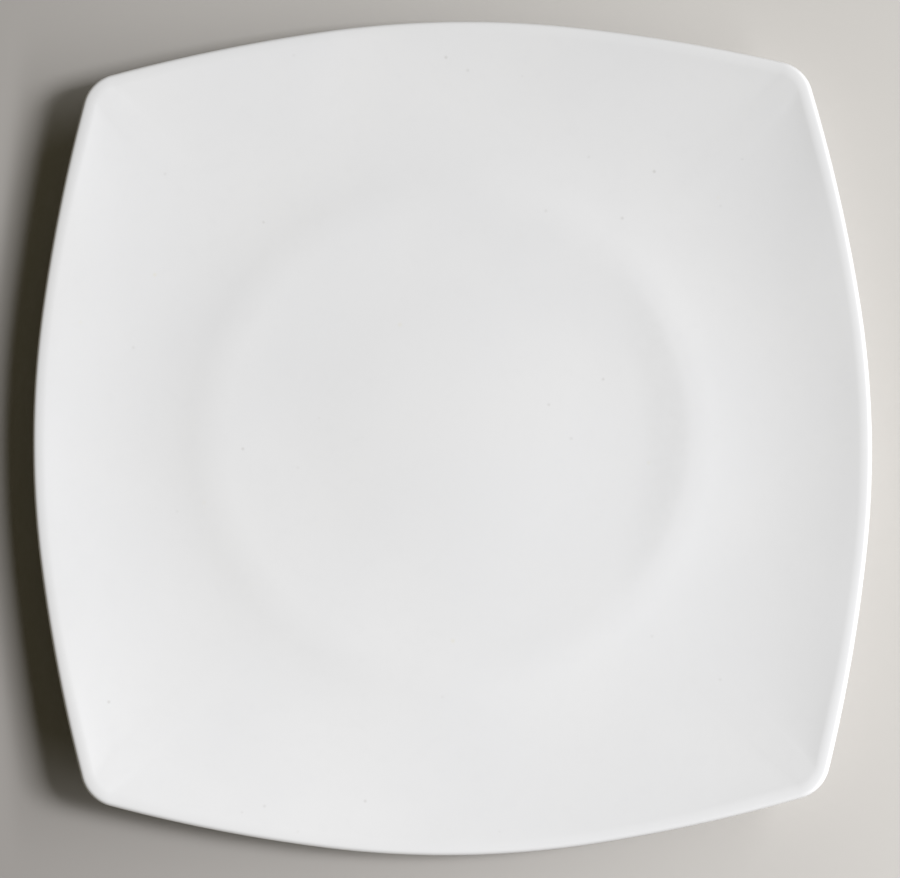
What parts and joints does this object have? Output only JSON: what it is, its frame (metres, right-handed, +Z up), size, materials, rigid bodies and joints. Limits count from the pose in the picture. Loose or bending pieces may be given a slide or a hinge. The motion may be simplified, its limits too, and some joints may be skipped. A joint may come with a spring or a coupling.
{
  "type": "charger plate",
  "caption": "Square charger plate in white glazed ceramic, with bowed sides, round corners, a shallow round well and a round foot ring, for setting under a dinner plate or for serving.",
  "frame": {"origin": "on the table under the middle of the plate, at the bearing face of the foot ring", "axes": "+Z up out of the well, +X and +Y towards the middles of two neighbouring sides"},
  "size_m": [0.305, 0.305, 0.021],
  "materials": {
    "clay": "bare fired clay, matte and finely grained",
    "white_glaze": "opaque white glaze, glossy, with fine specks"
  },
  "bodies": {
    "root": {"body": "clay", "foot_ring": "clay", "face_glaze": "white_glaze", "back_glaze": "white_glaze", "base_glaze": "white_glaze"}
  },
  "joints": []
}
